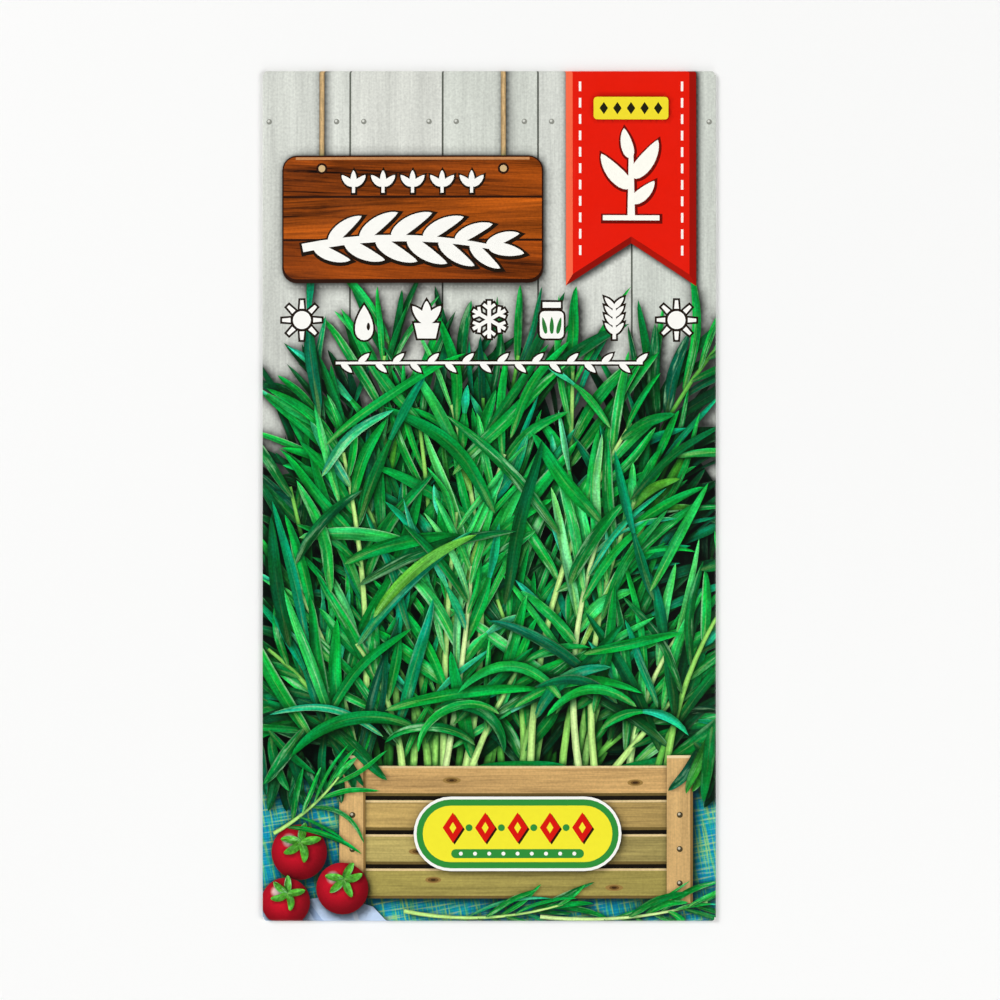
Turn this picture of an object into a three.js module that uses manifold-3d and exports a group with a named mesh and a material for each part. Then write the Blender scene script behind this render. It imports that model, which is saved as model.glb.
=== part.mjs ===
// A seed packet lying on its back: one sheet of coated paper folded into a flat envelope, with its lines of
// glue, an inner sachet and the seed. Millimetres, +Z up out of the printed front, +Y towards the packet's
// top edge, origin in the middle of the footprint, on the surface that the packet lies on.
import * as THREE from 'three';
import { mergeVertices } from 'three/addons/utils/BufferGeometryUtils.js';
import Module from 'manifold-3d';

// Driving dimensions
const packet = { width: 80, height: 150 }; // outside, over the folds
const paper = 0.15; // thickness of the coated sheet
const belly = { rise: 1.8, power: 2.2 }; // how far the front stands up, and how soon it levels off
const lap = { width: 12, jog: 3, clear: 0.4 }; // overlap of the back panels, and the step up onto it
const flap = { depth: 15, rootInset: 1, tipInset: 5 }; // the end flaps, and how far their sides are cut in
const backEndGap = 0.3; // how far the back panels stop short of the end folds
const glue = { layer: 0.05, hair: 0.005, seamWidth: 8, seamShort: 2, flapWidth: 5, flapShort: 8, corner: 1.7 };
const sachet = { width: 48, height: 62, centreY: -22, margin: 2.5, rise: 1.15 };
const film = { thickness: 0.1, gap: 0.06, lift: 0.02 }; // of the sachet's walls, between them and under them
const seed = { length: 1.35, width: 0.46, sides: 6 };
const heap = { count: 96, layers: 2, spacing: 0.52, wide: 1.35, deep: 0.8, upper: 0.78, sink: 0.7 };
const heapFromEnd = 16; // from the sachet's bottom edge to the middle of the heap
const grid = { front: 20, height: 34, fold: 6, panel: 2, jog: 4, sachetX: 12, sachetY: 14 }; // mesh steps

// Heights of the middle of each layer of paper, from the flaps up to the front
const layerStep = paper + glue.layer;
const flapZ = paper / 2;
const backZ = flapZ + layerStep;
const lapZ = backZ + layerStep;
const frontZ = lapZ + layerStep;

// A fold is a half turn. The side folds run from front to back panel, the end folds from front to flap.
function fold(outside, fromZ, toZ) {
  const radius = (toZ - fromZ) / 2;
  return { radius, arc: Math.PI * radius, at: outside - paper / 2 - radius };
}
const sideFold = fold(packet.width / 2, backZ, frontZ);
const endFold = fold(packet.height / 2, flapZ, frontZ);
const backLimitY = endFold.at - backEndGap;
const jogEnd = lap.width / 2 + lap.clear + lap.jog; // where the right back panel starts to step up

const wasm = await Module();
wasm.setup();

const clamp = THREE.MathUtils.clamp;
const smoothstep = THREE.MathUtils.smoothstep;
const evenly = (from, to, steps) =>
  Array.from({ length: steps + 1 }, (_, i) => from + ((to - from) * i) / steps);

// 0 at an edge, rising to 1 in the middle. share is the distance from the edge, 1 at the middle.
const levelOff = (share) => 1 - Math.pow(1 - clamp(share, 0, 1), belly.power);
const pillow = (x, y, halfX, halfY) => levelOff(1 - Math.abs(x) / halfX) * levelOff(1 - Math.abs(y) / halfY);

// A sheet over a grid, with both faces and its cut edges. place(u, v, side) is a point of its outer face
// (side 1) or of its inner face (side -1), and has(u, v) says whether the sheet is there at all.
function sheetGeometry(us, vs, place, has = () => true) {
  const inGrid = (i, j) => i >= 0 && j >= 0 && i < us.length - 1 && j < vs.length - 1;
  const isCell = (i, j) => inGrid(i, j) && has((us[i] + us[i + 1]) / 2, (vs[j] + vs[j + 1]) / 2);
  const numbers = new Map();
  const points = [];
  const corner = (i, j, side) => {
    const key = `${i} ${j} ${side}`;
    if (!numbers.has(key)) {
      numbers.set(key, points.length / 3);
      points.push(...place(us[i], vs[j], side));
    }
    return numbers.get(key);
  };
  const triangles = [];
  const quad = (...corners) => {
    const [a, b, c, d] = corners.map((at) => corner(...at));
    triangles.push(a, b, c, a, c, d);
  };
  const edge = (i, j, k, l) => quad([i, j, -1], [k, l, -1], [k, l, 1], [i, j, 1]);
  for (let j = 0; j < vs.length - 1; j++)
    for (let i = 0; i < us.length - 1; i++) {
      if (!isCell(i, j)) continue;
      quad([i, j, 1], [i + 1, j, 1], [i + 1, j + 1, 1], [i, j + 1, 1]);
      quad([i, j, -1], [i, j + 1, -1], [i + 1, j + 1, -1], [i + 1, j, -1]);
      if (!isCell(i, j - 1)) edge(i, j, i + 1, j);
      if (!isCell(i + 1, j)) edge(i + 1, j, i + 1, j + 1);
      if (!isCell(i, j + 1)) edge(i + 1, j + 1, i, j + 1);
      if (!isCell(i - 1, j)) edge(i, j + 1, i, j);
    }
  return indexedGeometry(points, triangles);
}

function indexedGeometry(points, triangles) {
  const geometry = new THREE.BufferGeometry();
  geometry.setAttribute('position', new THREE.BufferAttribute(new Float32Array(points), 3));
  geometry.setIndex(new THREE.BufferAttribute(new Uint32Array(triangles), 1));
  geometry.computeVertexNormals();
  return geometry;
}

function toSolid(geometry) {
  const bare = geometry.clone();
  bare.deleteAttribute('normal');
  bare.deleteAttribute('uv');
  const merged = mergeVertices(bare, 1e-5);
  return new wasm.Manifold(
    new wasm.Mesh({
      numProp: 3,
      vertProperties: new Float32Array(merged.attributes.position.array),
      triVerts: new Uint32Array(merged.index.array),
    }),
  );
}

function toGeometry(solid) {
  const mesh = solid.getMesh();
  return indexedGeometry(mesh.vertProperties, mesh.triVerts);
}

// A point of the folded sheet. across and along are distances on the unfolded blank from the front's centre.
// side is 1 on the printed face and -1 on the plain one.
function foldedPoint(across, along, side) {
  if (Math.abs(along) > endFold.at) return endPoint(across, along, side);
  if (Math.abs(across) > sideFold.at) return backPoint(across, along, side);
  const rise = belly.rise * pillow(across, along, sideFold.at, endFold.at);
  return [across, along, frontZ + rise + (side * paper) / 2];
}

// Round an end fold and onto its flap, whose sides are cut in and taper
function endPoint(across, along, side) {
  const end = Math.sign(along);
  const past = Math.abs(along) - endFold.at;
  const onFlap = Math.max(0, past - endFold.arc);
  const inset = flap.rootInset + ((flap.tipInset - flap.rootInset) * onFlap) / flap.depth;
  const x = across * (1 - (Math.min(1, past / endFold.arc) * inset) / sideFold.at);
  if (past >= endFold.arc) return [x, end * (endFold.at - onFlap), flapZ - (side * paper) / 2];
  const [out, up] = roundFold(endFold, past, side);
  return [x, end * out, flapZ + up];
}

// Round a side fold and onto its back panel. Where the two panels are lapped, the right one steps up onto the
// left one.
function backPoint(across, along, side) {
  const hand = Math.sign(across);
  const past = Math.abs(across) - sideFold.at;
  if (past < sideFold.arc) {
    const [out, up] = roundFold(sideFold, past, side);
    return [hand * out, along, backZ + up];
  }
  const x = hand * (sideFold.at - (past - sideFold.arc));
  const step = hand > 0 ? layerStep * (1 - smoothstep(x, jogEnd - lap.jog, jogEnd)) : 0;
  return [x, along, backZ + step - (side * paper) / 2];
}

// How far out, and how far above the fold's lower layer, a point lies that is past the start of the fold
function roundFold(bend, past, side) {
  const turn = past / bend.radius;
  const reach = bend.radius + (side * paper) / 2;
  return [bend.at + reach * Math.sin(turn), bend.radius + reach * Math.cos(turn)];
}

function envelopeGeometry() {
  const panelStart = sideFold.at + sideFold.arc;
  const panelEnd = panelStart + sideFold.at + lap.width / 2;
  const jogStart = panelStart + sideFold.at - jogEnd;
  const flapStart = endFold.at + endFold.arc;
  const sideLines = evenly(sideFold.at, panelStart, grid.fold).slice(1);
  const leftLines = [...sideLines, ...evenly(panelStart, panelEnd, grid.panel).slice(1)];
  const rightLines = [
    ...sideLines,
    ...evenly(panelStart, jogStart, grid.panel).slice(1),
    ...evenly(jogStart, jogStart + lap.jog, grid.jog).slice(1),
    panelEnd,
  ];
  const endLines = [...evenly(endFold.at, flapStart, grid.fold), flapStart + flap.depth];
  const mirrored = (lines) => lines.map((line) => -line).reverse();
  return sheetGeometry(
    [...mirrored(leftLines), ...evenly(-sideFold.at, sideFold.at, grid.front), ...rightLines],
    [...mirrored(endLines), ...evenly(-backLimitY, backLimitY, grid.height), ...endLines],
    foldedPoint,
    (across, along) => Math.abs(across) < sideFold.at || Math.abs(along) < backLimitY,
  );
}

// A dried line of glue: a flat slab with round corners that fills the space between two layers, less a hair
function glueGeometry(width, length) {
  const x = width / 2;
  const y = length / 2;
  const r = glue.corner;
  const outline = new THREE.Shape();
  outline.absarc(x - r, y - r, r, 0, Math.PI / 2);
  outline.absarc(r - x, y - r, r, Math.PI / 2, Math.PI);
  outline.absarc(r - x, r - y, r, Math.PI, 1.5 * Math.PI);
  outline.absarc(x - r, r - y, r, 1.5 * Math.PI, 2 * Math.PI);
  const depth = glue.layer - 2 * glue.hair;
  return new THREE.ExtrudeGeometry(outline, { depth, bevelEnabled: false, curveSegments: 5 });
}

// The sachet: two films joined down both sides and across the bottom, with its mouth pressed nearly shut
function sachetGeometry() {
  const halfX = sachet.width / 2;
  const halfY = sachet.height / 2;
  const fullX = halfX - sachet.margin; // the full part lies inside the joined margins
  const fullY = halfY - sachet.margin / 2;
  const flatTop = 2 * film.thickness + film.gap;
  const top = (x, y) => flatTop + sachet.rise * pillow(x, y - sachet.margin / 2, fullX, fullY);
  const xs = evenly(-fullX, fullX, grid.sachetX);
  const ys = evenly(sachet.margin - halfY, halfY, grid.sachetY);
  const outside = sheetGeometry([-halfX, ...xs, halfX], [-halfY, ...ys], (x, y, side) => [
    x,
    y,
    side > 0 ? top(x, y) : 0,
  ]);
  const space = sheetGeometry(xs, [...ys, halfY + sachet.margin], (x, y, side) => [
    x,
    y,
    side > 0 ? top(x, Math.min(y, halfY)) - film.thickness : film.thickness,
  ]);
  return toGeometry(toSolid(outside).subtract(toSolid(space)));
}

// The same row of numbers from 0 to 1 on every run
function seededRandom(start) {
  let state = start;
  return () => {
    state = (Math.imul(state, 1664525) + 1013904223) >>> 0;
    return state / 2 ** 32;
  };
}

// A pinch of seed. Each achene is a small spindle, placed by the sunflower rule so that it lies against the
// next, in layers that grow smaller. They are joined in one body, and a stray one that touches nothing is
// dropped.
function seedsGeometry() {
  const random = seededRandom(41);
  const goldenTurn = Math.PI * (3 - Math.sqrt(5));
  const perLayer = heap.count / heap.layers;
  const spindle = new THREE.SphereGeometry(0.5, seed.sides, 3)
    .rotateZ(Math.PI / 2)
    .scale(seed.length, seed.width, seed.width);
  const achene = toSolid(spindle);
  const placed = Array.from({ length: heap.count }, (_, n) => {
    const layer = Math.floor(n / perLayer);
    const spread = heap.spacing * Math.sqrt((n % perLayer) + 0.5) * heap.upper ** layer;
    const turn = (n % perLayer) * goldenTurn + layer;
    const x = spread * Math.cos(turn) * heap.wide;
    const y = spread * Math.sin(turn) * heap.deep;
    return achene.rotate([0, 0, random() * 180]).translate([x, y, seed.width * (0.5 + layer * heap.sink)]);
  });
  const bodies = wasm.Manifold.union(placed).decompose();
  const largest = bodies.reduce((a, b) => (b.volume() > a.volume() ? b : a));
  return toGeometry(largest.simplify(0.01));
}

const printedPaper = new THREE.MeshStandardMaterial({ color: '#2f8a45', roughness: 0.42, metalness: 0 });
const driedGlue = new THREE.MeshStandardMaterial({ color: '#e9e4d2', roughness: 0.5, metalness: 0 });
const glassine = new THREE.MeshStandardMaterial({ color: '#e6e4da', roughness: 0.35, metalness: 0 });
const seedCoat = new THREE.MeshStandardMaterial({ color: '#5a4630', roughness: 0.8, metalness: 0 });

function piece(name, geometry, material, x, y, z) {
  const mesh = new THREE.Mesh(geometry, material);
  mesh.name = name;
  mesh.position.set(x, y, z);
  return mesh;
}

function glueLine(name, width, length, y, layerZ) {
  return piece(name, glueGeometry(width, length), driedGlue, 0, y, layerZ + paper / 2 + glue.hair);
}

// The sachet's own frame: its middle, on the underside of its lower film
function sachetWithSeed() {
  const contents = new THREE.Group();
  contents.position.set(0, sachet.centreY, lapZ + paper / 2 + film.lift);
  const heapY = heapFromEnd - sachet.height / 2;
  contents.add(
    piece('inner_sachet', sachetGeometry(), glassine, 0, 0, 0),
    piece('seeds', seedsGeometry(), seedCoat, 0, heapY, film.thickness + film.lift),
  );
  return contents;
}

const flapGlueY = endFold.at - flap.depth / 2;
const flapGlueWidth = packet.width - 2 * glue.flapShort;
const seamLength = 2 * (backLimitY - glue.seamShort);

const seedPacket = new THREE.Group();
seedPacket.add(
  piece('envelope', envelopeGeometry(), printedPaper, 0, 0, 0),
  glueLine('glue_back_seam', glue.seamWidth, seamLength, 0, backZ),
  glueLine('glue_bottom_flap', flapGlueWidth, glue.flapWidth, -flapGlueY, flapZ),
  glueLine('glue_top_flap', flapGlueWidth, glue.flapWidth, flapGlueY, flapZ),
  sachetWithSeed(),
);

export default seedPacket;
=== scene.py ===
# A paper seed packet on its back. The folded sheet is rebuilt with its print, the rest keeps its CAD shape.
import random
from functools import partial
from math import atan2, cos, degrees, dist, exp, hypot, pi, radians, sin, tau

import bpy
import numpy as np
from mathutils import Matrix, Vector
from mathutils.bvhtree import BVHTree
from mathutils.geometry import delaunay_2d_cdt


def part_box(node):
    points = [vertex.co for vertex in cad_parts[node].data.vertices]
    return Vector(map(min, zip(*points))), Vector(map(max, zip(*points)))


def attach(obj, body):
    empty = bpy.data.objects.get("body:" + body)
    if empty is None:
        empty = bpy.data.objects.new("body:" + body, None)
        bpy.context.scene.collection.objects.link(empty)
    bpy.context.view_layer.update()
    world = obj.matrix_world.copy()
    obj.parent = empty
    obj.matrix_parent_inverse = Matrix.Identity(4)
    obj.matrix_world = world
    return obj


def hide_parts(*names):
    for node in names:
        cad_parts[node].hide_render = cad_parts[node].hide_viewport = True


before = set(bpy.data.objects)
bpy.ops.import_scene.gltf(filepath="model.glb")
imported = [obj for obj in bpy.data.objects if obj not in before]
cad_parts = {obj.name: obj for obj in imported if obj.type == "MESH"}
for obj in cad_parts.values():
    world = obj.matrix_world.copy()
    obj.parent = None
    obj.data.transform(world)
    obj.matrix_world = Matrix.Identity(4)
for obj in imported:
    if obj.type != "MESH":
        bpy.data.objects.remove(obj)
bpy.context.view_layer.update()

bpy.ops.object.select_all(action="DESELECT")
mm = 0.001
print("frame loaded:", ", ".join(sorted(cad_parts)))


# Camera, floor and light

view = {
    "frameWidth": 176.5,   # mm of the packet's plane that the picture's width takes in
    "lens": 85,
    "sensor": 36,
    "centre": (1.9, -0.7),   # mm, where the camera stands over the packet
    "plane": 0.5,   # mm, height of the packet's side folds
}
studio = {
    "floor": ("#f6f6f5", "#fbfbfa"),
    "floorSize": 2.0,
    "walls": 0.95,   # brightness of the white room at eye level, and of its ceiling
    "ceiling": 0.12,
    "lampSize": 1.0,
    "lamps": (((-1.25, 0.8, 1.1), 24.5), ((1.3, -0.35, 1.1), 15), ((0.1, -1.5, 0.9), 9)),   # m and watts
}


def setStage():
    distance = view["frameWidth"] * view["lens"] / view["sensor"] + view["plane"]
    x, y = view["centre"]
    bpy.ops.object.camera_add(location=(x * mm, y * mm, distance * mm), rotation=(0, 0, 0))
    bpy.context.scene.camera = bpy.context.object
    camera = bpy.context.object.data
    camera.lens, camera.sensor_width, camera.clip_start = view["lens"], view["sensor"], 0.01

    bpy.ops.mesh.primitive_plane_add(size=studio["floorSize"], location=(0, 0, 0))
    floor = bpy.context.object
    floor.name = "floor"
    floor.data.materials.append(newMaterial("paintedBoardFloor", paleFloor))

    for place, watts in studio["lamps"]:
        towardsPacket = (-Vector(place)).to_track_quat("-Z", "Y").to_euler()
        bpy.ops.object.light_add(type="AREA", location=place, rotation=towardsPacket)
        lamp = bpy.context.object.data
        lamp.shape, lamp.size, lamp.energy = "DISK", studio["lampSize"], watts

    world = bpy.data.worlds.new("whiteRoom")
    add = nodesOf(world)
    up = add("SeparateXYZ", (add("TexCoord"),)).node.outputs["Z"]
    room = add("MapRange", (up, 0, 0.5, studio["walls"], studio["ceiling"]), "SMOOTHSTEP")
    add("OutputWorld", (add("Background", ("#ffffff", room)),))
    bpy.context.scene.world = world
    bpy.context.scene.view_settings.view_transform = "Standard"
    print("stage set")


# Materials. Patterns are sized in mm, and those on a motif of the print in mm or in shares of the motif.

def hexToLinear(code):
    channels = [int(code[i:i + 2], 16) / 255 for i in (1, 3, 5)]
    return tuple(c / 12.92 if c <= 0.04045 else ((c + 0.055) / 1.055) ** 2.4 for c in channels) + (1.0,)


settingOf = {"Math": "operation", "VectorMath": "operation", "MapRange": "interpolation_type",
             "Mix": "data_type", "Attribute": "attribute_name", "UVMap": "uv_map"}


# Inputs go by name, or in the order of the node's own. setting is the one that settingOf names for its kind.
# What comes back is the node's first output.
def addNode(tree, kind, inputs=(), setting=None):
    node = tree.nodes.new("ShaderNode" + kind)
    if setting:
        setattr(node, settingOf[kind], setting)
    if isinstance(inputs, dict):
        pairs = [(node.inputs[name], value) for name, value in inputs.items()]
    else:
        pairs = zip([socket for socket in node.inputs if socket.enabled], inputs)
    for socket, value in pairs:
        if isinstance(value, bpy.types.NodeSocket):
            tree.links.new(value, socket)
        else:
            socket.default_value = hexToLinear(value) if isinstance(value, str) else value
    return next((socket for socket in node.outputs if socket.enabled), None)


def nodesOf(owner):   # empties the node tree of a material or world, and gives back its own addNode
    owner.use_nodes = True
    owner.node_tree.nodes.clear()
    return partial(addNode, owner.node_tree)


def newMaterial(name, surface, *values):   # surface works out the shader's inputs
    material = bpy.data.materials.new(name)
    add = nodesOf(material)
    add("OutputMaterial", (add("BsdfPrincipled", surface(add, *values)),))
    return material


def speckle(add, size, detail):   # even noise through the object
    return add("TexNoise", (add("TexCoord").node.outputs["Object"], 1 / (size * mm), detail))


def mottled(add, size, detail, dark, light):   # soft patches in two tones, and the noise that they come from
    cloud = speckle(add, size, detail)
    return cloud, add("Mix", (cloud, dark, light), "RGBA")


def paleFloor(add):   # matt white paint, nearly even
    _, tone = mottled(add, 330, 2, *studio["floor"])
    return {"Base Color": tone, "Roughness": 0.9}


# Coated paper of about 120 g: a clay coating that fills most of the fibre, so the ink lies nearly smooth with
# a soft gloss. What still shows is a fine tooth and a slow cloudiness from the fibres below.
paperLook = {
    "inkRoughness": 0.33,
    "bareRoughness": 0.62,
    "unevenness": (-0.04, 0.05),   # of the roughness
    "shine": 0.2,
    "fibre": 0.35,   # mm, drawn coarser than real fibre so that it shows
    "fibreDepth": 0.004,   # mm
    "cloud": 6.0,   # mm
    "screen": 0.42,   # mm, grain of the printing screen, drawn coarser as well
}


def coatedPaper(add, colour, roughness):
    low, high = [roughness + more for more in paperLook["unevenness"]]
    uneven = add("MapRange", (speckle(add, paperLook["cloud"], 2), 0.3, 0.7, low, high))
    tooth = speckle(add, paperLook["fibre"], 3)
    bump = add("Bump", {"Height": tooth, "Strength": 0.5, "Distance": paperLook["fibreDepth"] * mm})
    return {"Base Color": colour, "Roughness": uneven, "Normal": bump, "IOR": 1.45,
            "Specular IOR Level": paperLook["shine"]}


def bareStock(add):   # unprinted side and cut edges: white, faintly warm
    _, tone = mottled(add, 1.1, 4, "#e9e7df", "#f6f5ef")
    return coatedPaper(add, tone, paperLook["bareRoughness"])


# Each ink works out its colour, and the printed shade then darkens it where one motif lies over another.
# Among leaves the shadows lean to green. A printed picture has the screen's grain, and flat tints don't.
def printedInk(add, colourOf, lean, grain):
    shade = add("Attribute", (), "shade").node.outputs["Fac"]
    red, blue = [add("Math", (shade, power), "POWER") for power in lean]
    grainy = add("MapRange", (speckle(add, paperLook["screen"], 1), 0.3, 0.7, 1 - grain, 1 + grain))
    tint = add("VectorMath", (add("CombineXYZ", (red, shade, blue)), grainy), "SCALE")
    return coatedPaper(add, add("VectorMath", (colourOf(add), tint), "MULTIPLY"), paperLook["inkRoughness"])


def motifCoords(add):   # place along and across the motif, its tone and its ink
    axes = add("SeparateXYZ", (add("UVMap", (), "motif"),)).node.outputs
    return axes["X"], axes["Y"], add("Attribute", (), "tone").node.outputs["Fac"], add("Attribute", (), "ink")


# Noise of this size along and across the motif. Each tone has its own, far from the next one's.
def streaky(add, motif, along, across, detail, roughness=0.5, distortion=0.0):
    place = add("VectorMath", (add("CombineXYZ", motif[:3]), (along, across, 1 / 61)), "DIVIDE")
    return add("TexNoise", {"Vector": place, "Scale": 1, "Detail": detail, "Roughness": roughness,
                            "Distortion": distortion})


# A leaf: two halves that catch the light differently, a pale rib and base, fine veins, some gleam and a thin
# pale edge where the blade turns up
def leafInk(add):
    motif = along, across, tone, ink = motifCoords(add)
    fromRib = add("Math", (across,), "ABSOLUTE")
    side = add("Math", (across, add("MapRange", (tone, 0, 1, -1, 1))), "MULTIPLY")
    veins, folds = streaky(add, motif, 0.23, 0.1, 4), streaky(add, motif, 0.35, 1.5, 2)
    light = add("MapRange", (veins, 0.32, 0.68, 0.64, 1.4))
    half = add("MapRange", (side, -0.25, 0.25, 0.78, 1.36), "SMOOTHSTEP")
    light = add("Math", (light, half), "MULTIPLY")
    for levels in ((fromRib, 0.84, 1, 1, 0.68), (along, 0, 1, 0.8, 1.15), (folds, 0.34, 0.66, 0.6, 1.28)):
        light = add("Math", (light, add("MapRange", levels)), "MULTIPLY")
    blueness = add("MapRange", (folds.node.outputs["Color"], 0.42, 0.62, 0.75, 1.4))
    body = add("VectorMath", (ink, add("CombineXYZ", (1, 1, blueness))), "MULTIPLY")
    body = add("VectorMath", (body, light), "SCALE")

    ribWide = add("MapRange", (along, 0, 0.25, 1, 0.16))
    rib = add("MapRange", (add("Math", (fromRib, ribWide), "DIVIDE"), 0.2, 1, 1, 0), "SMOOTHSTEP")
    for levels in ((along, 0, 0.7, 0.95, 0), (veins.node.outputs["Color"], 0.45, 0.58, 0.12, 1)):
        rib = add("Math", (rib, add("MapRange", levels)), "MULTIPLY")
    wet = add("MapRange", (streaky(add, motif, 0.33, 0.62, 3, 0.6), 0.52, 0.7), "SMOOTHSTEP")
    gleam = add("Math", (wet, ink.node.outputs["Alpha"]), "MULTIPLY")
    edge = add("MapRange", (side, 0.6, 0.78, 0, 0.8), "SMOOTHSTEP")
    green = add("SeparateColor", (ink,)).node.outputs["Green"]
    yellowed = add("VectorMath", ((0.72, 1.6, 0.4), green), "SCALE")
    thin = add("VectorMath", ((0.6, 1.3, 0.62), green), "SCALE")
    for share, colour in ((rib, yellowed), (gleam, "#a6dea6"), (edge, thin)):
        body = add("Mix", (share, body, colour), "RGBA")
    return body


# A round stem or cord, darker towards its sides, with a few long streaks
def stemInk(add):
    motif = _, across, _, ink = motifCoords(add)
    square = add("Math", (across, across), "MULTIPLY")
    rounding = add("MapRange", (square, 0, 1, 1.15, 0.38))
    streak = add("MapRange", (streaky(add, motif, 0.09, 0.55, 3), 0.3, 0.7, 0.72, 1.2))
    return add("VectorMath", (ink, add("Math", (rounding, streak), "MULTIPLY")), "SCALE")


# A flat tint of ink, a little uneven as offset print is
def flatInk(add):
    light = add("MapRange", (speckle(add, 1.4, 3), 0.3, 0.7, 0.98, 1.01))
    return add("VectorMath", (add("Attribute", (), "ink"), light), "SCALE")


# Pictured wood: fine grain along the motif's first axis. The ink's alpha is how strong the grain is.
def woodInk(add):
    motif = _, _, _, ink = motifCoords(add)
    grain, bands = streaky(add, motif, 12.5, 0.42, 6, 0.7, 0.4), streaky(add, motif, 50, 4, 2)
    centred = add("Math", (add("Math", (grain, bands), "ADD"), 1), "SUBTRACT")
    light = add("Math", (centred, ink.node.outputs["Alpha"], 1), "MULTIPLY_ADD")
    return add("VectorMath", (ink, light), "SCALE")


# Pictured linen: uneven yarns both ways, some of them yellow-green on a blue-green ground
def clothInk(add):
    motif = _, _, _, ground = motifCoords(add)
    weft, warp = streaky(add, motif, 7, 0.36, 2), streaky(add, motif, 0.36, 7, 2)
    higher = add("Math", (weft, warp), "MAXIMUM")
    for levels, colour in (((warp, 0.42, 0.56), "#1ca888"), ((higher, 0.54, 0.66, 0, 0.62), "#a3b95c")):
        ground = add("Mix", (add("MapRange", levels), ground, colour), "RGBA")
    light = add("MapRange", (add("Math", (weft, warp), "ADD"), 0.8, 1.2, 0.7, 1.35))
    return add("VectorMath", (ground, light), "SCALE")


# A round fruit: motif coordinates run from -1 to 1 across it
def fruitInk(add):
    motif = add("UVMap", (), "motif")
    fromMiddle, fromShine = [add("VectorMath", (motif, place), "DISTANCE")
                             for place in ((-0.18, 0.2, 0), (-0.36, 0.42, 0))]
    light = add("MapRange", (fromMiddle, 0.1, 1.25, 1.25, 0.3), "SMOOTHSTEP")
    shine = add("MapRange", (fromShine, 0.1, 0.3, 0.8, 0), "SMOOTHSTEP")
    body = add("VectorMath", (add("Attribute", (), "ink"), light), "SCALE")
    return add("Mix", (shine, body, "#ffe9e2"), "RGBA")


# The dark inside of the bush, with leaves too deep in shade to tell apart
def thicketInk(add):
    lit = add("MapRange", (streaky(add, motifCoords(add), 2, 6, 4, distortion=1.2), 0.35, 0.75))
    return add("Mix", (lit, "#010a06", "#063320"), "RGBA")


inks = {   # what each is drawn by, how its shadows lean in red and blue, and its grain
    "flat": (flatInk, (1.0, 1.0), 0.0),
    "leaf": (leafInk, (1.35, 1.12), 0.2),
    "stem": (stemInk, (1.35, 1.12), 0.1),
    "wood": (woodInk, (1.0, 1.0), 0.08),
    "cloth": (clothInk, (1.0, 1.0), 0.08),
    "fruit": (fruitInk, (1.0, 1.0), 0.05),
    "thicket": (thicketInk, (1.35, 1.12), 0.2),
}


# The folded sheet, by the same sizes as the CAD model, in mm

sheet = {
    "paper": 0.15,
    "glueLayer": 0.05,
    "bellyRise": 1.8,
    "bellyPower": 2.2,
    "lapWidth": 12,
    "lapJog": 3,
    "lapClear": 0.4,
    "flapDepth": 15,
    "flapInsets": (1, 5),   # at its root and tip
    "backEndGap": 0.3,
    "foldSteps": 8,
    "jogSteps": 6,
    "waviness": 0.05,
}
envelopeLow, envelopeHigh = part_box("envelope")
halfWidth, halfHeight = [(high - low) / 2 / mm for low, high in zip(envelopeLow[:2], envelopeHigh[:2])]
layerStep = sheet["paper"] + sheet["glueLayer"]
flapZ = sheet["paper"] / 2
backZ = flapZ + layerStep
frontZ = flapZ + 3 * layerStep
sideRadius = (frontZ - backZ) / 2
endRadius = (frontZ - flapZ) / 2
sideArc = pi * sideRadius
endArc = pi * endRadius
sideAt = halfWidth - sheet["paper"] / 2 - sideRadius   # where the front ends and the folds begin
endAt = halfHeight - sheet["paper"] / 2 - endRadius
panelStart = sideAt + sideArc   # on the unfolded blank
panelEnd = panelStart + sideAt + sheet["lapWidth"] / 2
flapStart = endAt + endArc
flapEnd = flapStart + sheet["flapDepth"]
backLimit = endAt - sheet["backEndGap"]
jogEnd = sheet["lapWidth"] / 2 + sheet["lapClear"] + sheet["lapJog"]


def levelOff(share):
    return 1 - (1 - np.clip(share, 0, 1)) ** sheet["bellyPower"]


def smooth(share):
    share = np.clip(share, 0, 1)
    return share * share * (3 - 2 * share)


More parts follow.
